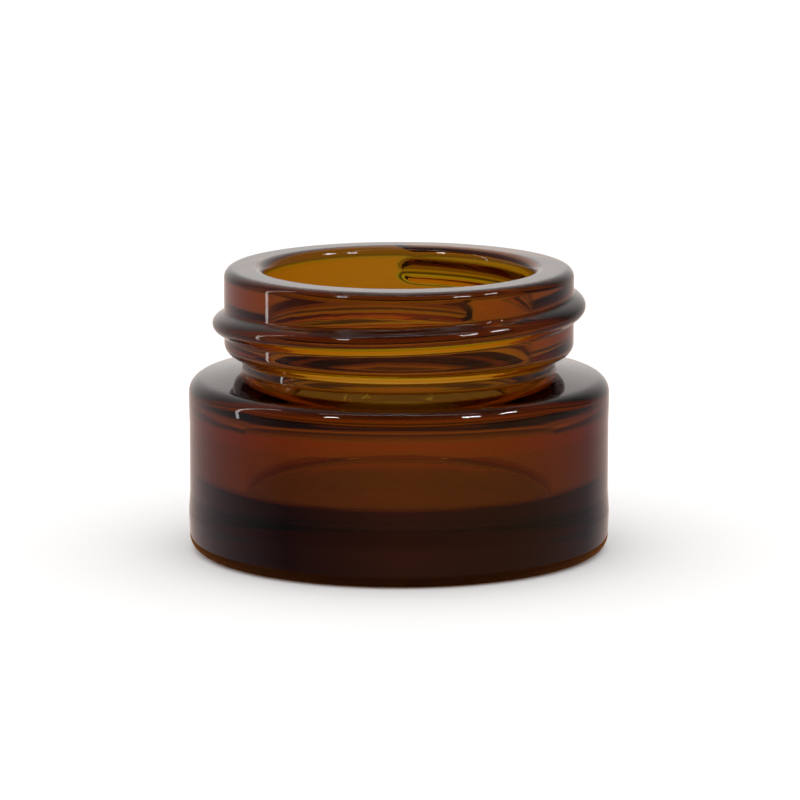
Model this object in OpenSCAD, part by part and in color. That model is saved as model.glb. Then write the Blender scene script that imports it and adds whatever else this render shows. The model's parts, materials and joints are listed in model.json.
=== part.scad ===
// Cream jar: a low, heavy-based pot pressed from one gob of amber glass, with a screw neck
// that takes a one-turn closure. The origin is at the middle of the surface it stands on,
// and +Z runs up through the middle of the mouth. Millimetres.

/* [Body] */
// Height from the standing surface to the top of the rim
jar_h = 28.4; // [27:0.1:31]
// Diameter of the heel band, the widest part
heel_d = 42.2; // [42:0.05:44]
// Height of the widest line of the heel band
heel_h = 3.9; // [3:0.1:5]
// Diameter of the shoulder band, a hair inside the heel band
shoulder_d = 42.04; // [41.8:0.02:42.2]
// Diameter of the label panel between the two bands
panel_d = 41.92; // [41:0.02:42]
// Height of the outer corner where the side turns in to the shoulder
shoulder_z = 17.2; // [16.5:0.1:18]
// Radius of that corner
shoulder_r = 1.6; // [1:0.05:2.5]
// Radius between the side and the base
heel_r = 1.5; // [0.8:0.1:2]

/* [Base] */
// Thickness of the glass under the cavity, push-up included
base_t = 6.7; // [5:0.1:9]
// Diameter inside the ring that the jar stands on
push_up_d = 33.0; // [28:0.5:36]
// Height of the push-up in the middle of the base
push_up_h = 0.9; // [0.3:0.1:1.5]

/* [Neck] */
// Diameter of the neck between the threads, called E on a neck drawing
neck_d = 34.9; // [34.5:0.05:35.1]
// Diameter of the mouth
mouth_d = 26.8; // [26:0.1:28]
// Diameter of the waist between the neck and the shoulder
waist_d = 31.4; // [31:0.1:33]
// Height where the shoulder meets the waist
waist_z = 18.3; // [18:0.1:18.6]
// Height of the lower corner of the neck
neck_z = 20.1; // [19.8:0.1:20.4]
// Radius of the lower corner of the neck
neck_foot_r = 1.2; // [0.6:0.1:1.3]
// Radius of the rim's outer edge
rim_outer_r = 0.95; // [0.5:0.05:1.2]
// Radius of the rim's inner edge
rim_inner_r = 1.1; // [0.4:0.05:1.3]

/* [Cavity] */
// Diameter of the cavity below the neck
cavity_d = 30.8; // [29:0.1:34]
// Radius between the cavity's wall and its floor
floor_r = 0.5; // [0.4:0.1:3]
// Height where the straight wall of the mouth ends
mouth_foot_z = 17.9; // [17:0.1:19]
// Radius of the turn from the mouth into the cavity
mouth_foot_r = 1.7; // [0.5:0.1:2]
// Height where the cavity reaches its full width
cavity_top_z = 14.4; // [13:0.1:15]
// Radius of the turn from the cavity's shoulder into its wall
cavity_top_r = 3.6; // [1:0.1:4]

/* [Thread] */
// Diameter over the thread, called T on a neck drawing
thread_d = 37.25; // [36.9:0.05:37.4]
// Rise in one turn, seven threads to the inch
thread_pitch = 3.63; // [3.2:0.01:4.2]
// Width of the thread where it leaves the neck
thread_w = 2.5; // [2:0.05:2.8]
// Height of the middle of the thread at its upper end
thread_start_z = 25.5; // [25:0.05:25.7]
// Direction of the upper end, counter-clockwise from +X
thread_start_a = 90; // [0:1:359]
// How far the thread runs round the neck
thread_run = 392; // [300:1:400]
// Arc over which each end of the thread dies away
thread_end_a = 7; // [4:1:20]

/* [Hidden] */
amber = [0.36, 0.16, 0.03];
// Steps in a rounded corner, across the push-up, along the thread and across it
arc_steps = 6;
dome_steps = 8;
thread_step_a = 5;
thread_ribs = 8;
// Power that sets how full the thread's section is: 2 is a parabola, and more is squarer
thread_round = 2.2;
// How deep the thread's foot starts inside the wall
thread_sink = 0.4;
// The tip of each nose: how far it dips under the wall, and its part of the full width
nose_dip = 0.15;
nose_w = 0.25;
// How far the side leans in at the base, below the heel band
heel_in = 0.15;
// Heights of the shoulder band and of the slopes between the bands and the panel
shoulder_band = 2.4;
band_blend = 2;
// Depth of the slope under the neck's lower corner, down to the waist
waist_cut = 0.8;
// Roundings of the waist's two corners and of the gentle bends
root_r = 0.3;
soft_r = 2.5;
thread_h = (thread_d - neck_d) / 2;
// The section is wider inside the wall than where it comes out of it
thread_foot_w = thread_w / pow(thread_h / (thread_h + thread_sink), 1 / thread_round);
floor_z = base_t;
$fn = 96;

// Points of the arc of radius r that rounds corner b between its neighbours a and c
function arc_at(a, b, c, r) =
  let (u = (a - b) / norm(a - b), v = (c - b) / norm(c - b))
  let (half = acos(u * v) / 2, mid = b + (u + v) / norm(u + v) * r / sin(half))
  let (from = b + u * r / tan(half) - mid, to = b + v * r / tan(half) - mid)
  let (a0 = atan2(from[1], from[0]), turn = (atan2(to[1], to[0]) - a0 + 540) % 360 - 180)
  [for (i = [0 : arc_steps]) mid + r * [cos(a0 + turn * i / arc_steps), sin(a0 + turn * i / arc_steps)]];

// An outline through corners given as [radius from the axis, height, rounding]
function softened(corners) =
  [for (i = [0 : len(corners) - 1])
    let (c = corners[i], here = [c[0], c[1]])
    each c[2] == 0 ? [here] :
      arc_at([corners[i - 1][0], corners[i - 1][1]], here, [corners[i + 1][0], corners[i + 1][1]], c[2])];

// The push-up: a shallow dome from the middle of the base out to the ring that the jar stands on
push_up = [for (i = [0 : dome_steps - 1])
  let (t = i / dome_steps) [t * push_up_d / 2, push_up_h * (1 - t * t)]];

// The outside from the standing ring up to the rim
outside = [
  [push_up_d / 2, 0, 0],
  [heel_d / 2 - heel_in, 0, heel_r],
  [heel_d / 2, heel_h, soft_r],
  [panel_d / 2, heel_h + band_blend, soft_r],
  [panel_d / 2, shoulder_z - shoulder_band - band_blend, soft_r],
  [shoulder_d / 2, shoulder_z - shoulder_band, soft_r],
  [shoulder_d / 2, shoulder_z, shoulder_r],
  [waist_d / 2, waist_z, root_r],
  [waist_d / 2, neck_z - waist_cut, root_r],
  [neck_d / 2, neck_z, neck_foot_r],
  [neck_d / 2, jar_h, rim_outer_r],
];

// The inside from the rim down to the cavity's floor
inside = [
  [mouth_d / 2, jar_h, rim_inner_r],
  [mouth_d / 2, mouth_foot_z, mouth_foot_r],
  [cavity_d / 2, cavity_top_z, cavity_top_r],
  [cavity_d / 2, floor_z, floor_r],
  [0, floor_z, 0],
];

// How full the thread is at part t of its run: it dies away in a round nose at each end
function thread_size(t) =
  let (nose = thread_end_a / thread_run, near = min(t, 1 - t, nose) / nose)
  sqrt(1 - (1 - near) * (1 - near));

// One rib of the thread: a round-topped section that starts inside the neck's wall
function thread_rib(t) =
  let (size = thread_size(t), a = thread_start_a - t * thread_run)
  let (z = thread_start_z - thread_pitch * t * thread_run / 360)
  let (crest = thread_h * ((1 + nose_dip) * size - nose_dip) + thread_sink)
  [for (i = [0 : thread_ribs])
    let (s = 1 - 2 * i / thread_ribs)
    let (r = neck_d / 2 - thread_sink + crest * (1 - pow(abs(s), thread_round)))
    [r * cos(a), r * sin(a), z + s * max(size, nose_w) * thread_foot_w / 2]];

module thread() {
  steps = ceil(thread_run / thread_step_a);
  nose = thread_end_a / thread_run;
  // The ribs stand closer together where the ends round off
  turns = concat([for (i = [0 : 3]) nose * i * i / 16],
                 [for (i = [0 : steps]) nose + (1 - 2 * nose) * i / steps],
                 [for (i = [3 : -1 : 0]) 1 - nose * i * i / 16]);
  ribs = [for (t = turns) thread_rib(t)];
  n = len(ribs[0]);
  last = (len(ribs) - 1) * n;
  sides = [for (i = [0 : len(ribs) - 2], j = [0 : n - 1])
    let (p = i * n + j, q = i * n + (j + 1) % n)
    each [[p, q, q + n], [p, q + n, p + n]]];
  caps = [for (j = [1 : n - 2]) each [[0, j + 1, j], [last, last + j, last + j + 1]]];
  polyhedron([for (rib = ribs) each rib], concat(sides, caps));
}

module glass_jar() {
  color(amber)
  union() {
    rotate_extrude()
      polygon(concat(push_up, softened(concat(outside, inside))));
    thread();
  }
}

glass_jar();
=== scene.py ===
"""An empty amber glass cream jar, open, on a plain pale floor."""
import json
import math

import bpy
import numpy as np
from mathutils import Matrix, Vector


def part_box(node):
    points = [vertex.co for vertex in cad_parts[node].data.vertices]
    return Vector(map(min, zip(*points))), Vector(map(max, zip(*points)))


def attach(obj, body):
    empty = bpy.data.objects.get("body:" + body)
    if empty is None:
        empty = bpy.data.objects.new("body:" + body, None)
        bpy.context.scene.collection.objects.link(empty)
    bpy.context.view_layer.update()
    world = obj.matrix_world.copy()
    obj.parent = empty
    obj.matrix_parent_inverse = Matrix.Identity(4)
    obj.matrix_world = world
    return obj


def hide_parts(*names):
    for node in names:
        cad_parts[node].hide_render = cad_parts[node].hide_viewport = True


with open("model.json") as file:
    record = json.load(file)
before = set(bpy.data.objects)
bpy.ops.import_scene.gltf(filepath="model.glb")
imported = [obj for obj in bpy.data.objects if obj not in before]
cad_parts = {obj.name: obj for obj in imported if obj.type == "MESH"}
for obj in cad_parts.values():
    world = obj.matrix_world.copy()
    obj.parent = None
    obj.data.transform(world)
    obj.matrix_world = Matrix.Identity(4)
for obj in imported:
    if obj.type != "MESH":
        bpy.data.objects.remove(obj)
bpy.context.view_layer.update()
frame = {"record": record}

MM = 0.001
MOUNTS = {mount["name"]: mount for mount in frame["record"]["mounts"]}

# The jar's driving sizes, in millimetres, from the frame where it states them
JAR_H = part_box("glass_jar")[1].z / MM
MOUTH_R = MOUNTS["mouth"]["dims"]["r_mm"]
PANEL_R = MOUNTS["body_side"]["dims"]["r_mm"]
HEEL_R = 21.1
SHOULDER_R = 21.02
NECK_R = 17.45
WAIST_R = 15.7
PUSH_UP_R = 16.5
PUSH_UP_H = 0.9
CAVITY_R = 15.4
FLOOR_Z = 6.7

# The screw thread, in millimetres and degrees
THREAD_R = 18.625
THREAD_PITCH = 3.63
THREAD_WIDTH = 2.5
THREAD_TOP_Z = 25.5
THREAD_RUN = 392
THREAD_NOSE = 7
THREAD_FULLNESS = 2.2
THREAD_FILLET = 0.10

# How finely the glass is drawn
SEGMENTS = 288
ARC_STEP = 8.0
PLAIN_STEP = 0.45
NECK_STEP = 0.13

# Colour that a millimetre of the glass takes out of white light, and how it bends light
AMBER = (0.946, 0.878, 0.5)
AMBER_PER_METRE = 2000.0
GLASS_IOR = 1.52

# The camera, in millimetres and degrees
CAMERA_AWAY = 500.0
CAMERA_DOWN = 10.3
CAMERA_LENS = 224.65
CAMERA_AIM = (0.1, 0.0, 14.86)

# The disc of floor close under the jar, and the whole floor, in millimetres
SEAT_R = 23.0
FLOOR_R = 3000.0

# Brightness of the room as things are lit by it, and as the camera sees it
ROOM_LIGHT = (1.32, 1.32, 1.32, 1)
ROOM_SHOWN = (1.1, 1.1, 1.1, 1)


class Wire:
    """A number that runs between nodes; sums on it add Math nodes."""

    def __init__(self, recipe, socket):
        self.recipe = recipe
        self.socket = socket

    def sum(self, operation, first, second):
        return self.recipe.node("ShaderNodeMath", {"operation": operation}, {0: first, 1: second})

    def __add__(self, other):
        return self.sum("ADD", self, other)

    def __radd__(self, other):
        return self.sum("ADD", other, self)

    def __sub__(self, other):
        return self.sum("SUBTRACT", self, other)

    def __rsub__(self, other):
        return self.sum("SUBTRACT", other, self)

    def __mul__(self, other):
        return self.sum("MULTIPLY", self, other)

    def __rmul__(self, other):
        return self.sum("MULTIPLY", other, self)


class Recipe:
    """The nodes of one material, or of the room."""

    def __init__(self, owner):
        owner.use_nodes = True
        self.tree = owner.node_tree
        self.tree.nodes.clear()

    def node(self, kind, settings=None, sockets=None, out=0):
        made = self.tree.nodes.new(kind)
        for name, value in (settings or {}).items():
            if name == "stops":
                self.fill_ramp(made.color_ramp, value)
            else:
                setattr(made, name, value)
        for name, value in (sockets or {}).items():
            socket = made.inputs[name] if isinstance(name, int) else self.find(made.inputs, name)
            if isinstance(value, Wire):
                self.tree.links.new(value.socket, socket)
            else:
                socket.default_value = value
        if not made.outputs:
            return None
        return Wire(self, made.outputs[out] if isinstance(out, int) else self.find(made.outputs, out))

    def find(self, sockets, name):
        """A socket by its identifier, which stays unique where two sockets share a name."""
        return next(socket for socket in sockets if name in (socket.identifier, socket.name))

    def fill_ramp(self, ramp, stops):
        while len(ramp.elements) < len(stops):
            ramp.elements.new(1.0)
        for element, (place, colour) in zip(ramp.elements, stops):
            element.position = place
            element.color = (*colour, 1)

    def mix(self, share, first, second):
        """The first colour where the share is 0, the second where it is 1."""
        return self.node("ShaderNodeMix", {"data_type": "RGBA", "clamp_factor": True},
                         {"Factor_Float": share, "A_Color": first, "B_Color": second}, out="Result_Color")


# ---------------------------------------------------------------- the glass jar's shape

def arc_through(before, corner, after, radius):
    """Points of the arc that rounds a corner of the outline."""
    back = (before - corner) / np.linalg.norm(before - corner)
    on = (after - corner) / np.linalg.norm(after - corner)
    half = math.acos(float(back @ on)) / 2
    middle = corner + (back + on) / np.linalg.norm(back + on) * radius / math.sin(half)
    first = corner + back * radius / math.tan(half) - middle
    last = corner + on * radius / math.tan(half) - middle
    start = math.atan2(first[1], first[0])
    turn = (math.atan2(last[1], last[0]) - start + math.pi) % (2 * math.pi) - math.pi
    steps = max(3, math.ceil(abs(math.degrees(turn)) / ARC_STEP))
    angles = start + turn * np.arange(steps + 1) / steps
    return [middle + radius * np.array([math.cos(a), math.sin(a)]) for a in angles]


def soften(corners):
    """The outline through corners given as (radius, height, rounding)."""
    places = [np.array(corner[:2], float) for corner in corners]
    line = [places[0]]
    for i in range(1, len(corners) - 1):
        radius = corners[i][2]
        if radius:
            line += arc_through(places[i - 1], places[i], places[i + 1], radius)
        else:
            line.append(places[i])
    line.append(places[-1])
    return line


def fill_in(line):
    """The same outline with long straight stretches divided, finest where the thread is."""
    filled = [line[0]]
    for start, end in zip(line, line[1:]):
        length = float(np.linalg.norm(end - start))
        on_neck = min(start[0], end[0]) > NECK_R - 0.01 and min(start[1], end[1]) > 20.0
        step = NECK_STEP if on_neck and max(start[0], end[0]) < NECK_R + 0.01 else PLAIN_STEP
        parts = max(1, math.ceil(length / step))
        filled += [start + (end - start) * k / parts for k in range(1, parts + 1)]
    return filled


def jar_outline():
    """Half the jar's section, from the middle of its underside round to the middle of its floor."""
    dome = [(PUSH_UP_R * t, PUSH_UP_H * (1 - t * t), 0) for t in np.linspace(0, 0.96, 24)]
    outside = [
        (PUSH_UP_R, 0, 0.6),
        (HEEL_R - 0.15, 0, 1.5),
        (HEEL_R, 3.9, 2.5),
        (PANEL_R, 5.9, 2.5),
        (PANEL_R, 12.8, 2.5),
        (SHOULDER_R, 14.8, 2.5),
        (SHOULDER_R, 17.2, 1.6),
        (WAIST_R, 18.3, 0.3),
        (WAIST_R, 19.3, 0.3),
        (NECK_R, 20.1, 1.2),
        (NECK_R, JAR_H, 0.95),
    ]
    inside = [
        (MOUTH_R, JAR_H, 1.1),
        (MOUTH_R, 17.9, 1.7),
        (CAVITY_R, 14.4, 3.6),
        (CAVITY_R, FLOOR_Z, 0.5),
        (0, FLOOR_Z, 0),
    ]
    return np.array(fill_in(soften(dome + outside + inside)))


def thread_height(turn, height):
    """How far the thread stands out of the neck, at an angle run down from its upper end."""
    middle = THREAD_TOP_Z - THREAD_PITCH * turn / 360
    across = np.abs(height - middle) / (THREAD_WIDTH / 2)
    near_end = np.minimum(turn, THREAD_RUN - turn)
    along = np.clip((THREAD_NOSE - near_end) / THREAD_NOSE, 0, None)
    full = 1 - across ** THREAD_FULLNESS - along ** THREAD_FULLNESS
    rounded = (full + np.sqrt(full * full + THREAD_FILLET ** 2)) / 2
    return (THREAD_R - NECK_R) * rounded


def jar_mesh():
    """The glass as one closed skin: the outline turned about the axis, with the thread raised on it."""
    outline = jar_outline()
    rings = outline[1:-1]
    angles = 2 * math.pi * np.arange(SEGMENTS) / SEGMENTS
    radius = np.repeat(rings[:, :1], SEGMENTS, axis=1)
    height = np.repeat(rings[:, 1:], SEGMENTS, axis=1)
    angle = np.repeat(angles[None, :], len(rings), axis=0)

    # The thread starts at the back, +Y, and runs down clockwise seen from above, past its own start
    turn = (90.0 - np.degrees(angle)) % 360.0
    turns = [turn - 360, turn, turn + 360]
    on_neck = (rings[:, 0] > WAIST_R + 0.3) & (rings[:, 1] > 20.0)
    radius = radius + sum(thread_height(lap, height) for lap in turns) * on_neck[:, None]

    points = np.stack([radius * np.cos(angle), radius * np.sin(angle), height], axis=-1).reshape(-1, 3)
    under = len(points)
    floor = under + 1
    points = np.vstack([points, [0, 0, outline[0][1]], [0, 0, outline[-1][1]]]) * MM

    faces = []
    for i in range(len(rings) - 1):
        for j in range(SEGMENTS):
            k = (j + 1) % SEGMENTS
            faces.append((i * SEGMENTS + j, i * SEGMENTS + k, (i + 1) * SEGMENTS + k, (i + 1) * SEGMENTS + j))
    last = (len(rings) - 1) * SEGMENTS
    for j in range(SEGMENTS):
        k = (j + 1) % SEGMENTS
        faces.append((under, k, j))
        faces.append((floor, last + j, last + k))

    mesh = bpy.data.meshes.new("glass_jar_skin")
    mesh.from_pydata(points.tolist(), [], faces)
    mesh.validate()
    mesh.shade_smooth()
    return mesh


def amber_glass():
    """Clear amber container glass: coloured through its thickness, with a faint moulded ripple."""
    material = bpy.data.materials.new("amber_glass")
    glass = Recipe(material)
    place = glass.node("ShaderNodeTexCoord", out="Object")
    ripple = glass.node("ShaderNodeTexNoise", {}, {"Vector": place, "Scale": 260.0, "Detail": 2.0}, out="Fac")
    handling = glass.node("ShaderNodeTexNoise", {}, {"Vector": place, "Scale": 90.0, "Detail": 5.0},
                          out="Fac")
    relief = glass.node("ShaderNodeBump", {}, {"Strength": 0.03, "Distance": 0.0004, "Height": ripple})
    surface = glass.node("ShaderNodeBsdfPrincipled", {}, {
        "Base Color": (1, 1, 1, 1),
        "Roughness": handling * 0.01,
        "IOR": GLASS_IOR,
        "Transmission Weight": 1.0,
        "Normal": relief,
    })
    depth = glass.node("ShaderNodeVolumeAbsorption", {}, {"Color": (*AMBER, 1), "Density": AMBER_PER_METRE})
    glass.node("ShaderNodeOutputMaterial", {}, {"Surface": surface, "Volume": depth})
    return material


def glass_jar():
    jar = bpy.data.objects.new("amber_glass_jar", jar_mesh())
    bpy.context.scene.collection.objects.link(jar)
    jar.data.materials.append(amber_glass())
    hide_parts("glass_jar")
    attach(jar, "root")
    return jar


# ---------------------------------------------------------------- the studio

def floor_piece(name, radii, material):
    """A flat ring or disc of the floor."""
    steps = 96
    around = [(math.cos(2 * math.pi * k / steps), math.sin(2 * math.pi * k / steps)) for k in range(steps)]
    points = [(x * r * MM, y * r * MM, 0) for r in radii for x, y in around]
    if len(radii) == 1:
        faces = [tuple(range(steps))]
    else:
        faces = [(k, (k + 1) % steps, steps + (k + 1) % steps, steps + k) for k in range(steps)]
        faces = [tuple(reversed(face)) for face in faces]
    mesh = bpy.data.meshes.new(name)
    mesh.from_pydata(points, [], faces)
    floor = bpy.data.objects.new(name, mesh)
    bpy.context.scene.collection.objects.link(floor)
    floor.data.materials.append(material)
    return floor


def matt_paint(name, colour, mirrored_colour):
    """Matt paint that mirrors see in a colour of their own, where a painted reflection can go."""
    material = bpy.data.materials.new(name)
    paint = Recipe(material)
    in_mirror = paint.node("ShaderNodeLightPath", out="Is Glossy Ray")
    seen = paint.mix(in_mirror, colour, mirrored_colour)
    surface = paint.node("ShaderNodeBsdfDiffuse", {}, {"Color": seen})
    paint.node("ShaderNodeOutputMaterial", {}, {"Surface": surface})
    return material


def pale_floor():
    white = (0.85, 0.845, 0.84, 1)
    # Close under the jar, the glass mirrors this disc in a painted amber shade: the contact shadow and the
    # amber light through the glass, painted into the colour that mirrors see
    painted_amber_shade = (0.34, 0.13, 0.04, 1)
    floor_piece("floor_under_jar", [SEAT_R], matt_paint("matt_white_with_painted_reflection_shade", white, painted_amber_shade))
    floor = floor_piece("floor", [SEAT_R, FLOOR_R], matt_paint("matt_white", white, white))
    floor.visible_glossy = False
    floor.visible_transmission = False


def studio_room():
    """White paper behind, a dark room in front; the glass sees its own bands of light and shade."""
    world = bpy.data.worlds.new("studio")
    bpy.context.scene.world = world
    world.cycles.sampling_method = "NONE"
    room = Recipe(world)
    way = room.node("ShaderNodeTexCoord", out="Generated")
    split = {axis: room.node("ShaderNodeSeparateXYZ", {}, {0: way}, out=axis) for axis in "XYZ"}
    kinds = ("Camera", "Glossy", "Transmission")
    ray = {kind: room.node("ShaderNodeLightPath", out=f"Is {kind} Ray") for kind in kinds}

    # Height of the direction, from straight down, 0, to straight up, 1
    rise = split["Z"] * 0.5 + 0.5
    # Way round of the direction: 0.5 is the front, 0.25 the left, 0.75 the right, and 0 and 1 the back
    turn = room.node("ShaderNodeMath", {"operation": "ARCTAN2"}, {0: split["X"], 1: split["Y"] * -1.0})
    around = turn * (0.5 / math.pi) + 0.5

    walls = room.node("ShaderNodeValToRGB", {"stops": [
        (0.0, (1.0, 0.95, 0.92)), (0.15, (0.34, 0.3, 0.28)), (0.32, (0.04, 0.035, 0.035)),
        (0.5, (0.04, 0.03, 0.03)), (0.68, (0.12, 0.08, 0.06)), (0.85, (0.11, 0.09, 0.08)),
        (1.0, (1.0, 0.95, 0.92))]}, {0: around})
    table = room.node("ShaderNodeValToRGB", {"stops": [
        (0.0, (0.85, 0.66, 0.58)), (0.15, (0.42, 0.35, 0.36)), (0.32, (0.1, 0.09, 0.09)),
        (0.5, (0.5, 0.18, 0.1)), (0.68, (0.34, 0.19, 0.1)), (0.85, (0.26, 0.23, 0.24)),
        (1.0, (0.85, 0.66, 0.58))]}, {0: around})
    upper = room.node("ShaderNodeMapRange", {"interpolation_type": "SMOOTHSTEP"},
                      {0: rise, 1: 0.42, 2: 0.55, 3: 0.0, 4: 1.0})
    glossy = room.mix(upper, table, walls)
    seen_through = room.node("ShaderNodeValToRGB", {"stops": [
        (0.0, (0.26, 0.16, 0.14)), (0.3127, (0.26, 0.16, 0.14)), (0.3748, (0.18, 0.15, 0.13)),
        (0.4029, (0.36, 0.34, 0.3)), (0.4235, (0.5, 0.3, 0.25)), (0.4477, (0.37, 0.38, 0.33)),
        (0.4826, (0.1, 0.1, 0.07)), (0.5349, (0.1, 0.1, 0.07)), (0.5868, (0.58, 0.6, 0.5)),
        (0.6462, (0.3, 0.4, 0.35)), (0.7034, (0.68, 0.45, 0.4)), (1.0, (0.68, 0.45, 0.4))]}, {0: rise})
    on_things = room.mix(ray["Glossy"], ROOM_LIGHT, glossy)
    light = room.mix(ray["Transmission"], on_things, seen_through)
    shown = room.mix(ray["Camera"], light, ROOM_SHOWN)
    surface = room.node("ShaderNodeBackground", {}, {"Color": shown, "Strength": 1.0})
    room.node("ShaderNodeOutputWorld", {}, {"Surface": surface})


def lamp(name, place, aim, size, power):
    light = bpy.data.lights.new(name, "AREA")
    light.shape = "RECTANGLE"
    light.size, light.size_y = (side * MM for side in size)
    light.energy = power
    holder = bpy.data.objects.new(name, light)
    bpy.context.scene.collection.objects.link(holder)
    holder.location = Vector(place) * MM
    holder.rotation_euler = (Vector(aim) * MM - holder.location).to_track_quat("-Z", "Y").to_euler()
    holder.visible_camera = False
    holder.visible_diffuse = False
    holder.visible_transmission = False
    return holder


def studio_lamps():
    lamp("side_strip", (-90, -3, 62), (0, -3, 62), (3.5, 120), 0.006)
    lamp("top_bar", (0, -45, 260), (0, 0, 20), (260, 22), 0.03)
    lamp("front_left_lamp", (-171, -171, 280), (0, 0, 20), (40, 24), 0.12)
    lamp("front_right_lamp", (184, -155, 280), (0, 0, 20), (60, 24), 0.2)
    lamp("right_lamp", (240, -50, 280), (0, 0, 20), (60, 24), 0.12)


def studio_camera():
    camera = bpy.data.cameras.new("camera")
    camera.lens = CAMERA_LENS
    camera.sensor_width = 36.0
    camera.clip_start = 0.01
    holder = bpy.data.objects.new("camera", camera)
    bpy.context.scene.collection.objects.link(holder)
    down = math.radians(CAMERA_DOWN)
    aim = Vector(CAMERA_AIM) * MM
    holder.location = aim + Vector((0, -math.cos(down), math.sin(down))) * CAMERA_AWAY * MM
    holder.rotation_euler = (math.pi / 2 - down, 0, 0)
    bpy.context.scene.camera = holder


def studio_settings():
    scene = bpy.context.scene
    scene.view_settings.view_transform = "Standard"
    scene.cycles.use_denoising = True
    scene.cycles.max_bounces = 24
    scene.cycles.transmission_bounces = 24
    scene.cycles.glossy_bounces = 12
    scene.cycles.diffuse_bounces = 3
    scene.cycles.caustics_refractive = True
    scene.cycles.caustics_reflective = False
    scene.cycles.sample_clamp_indirect = 10.0


studio_camera()
studio_room()
studio_lamps()
pale_floor()
glass_jar()
studio_settings()
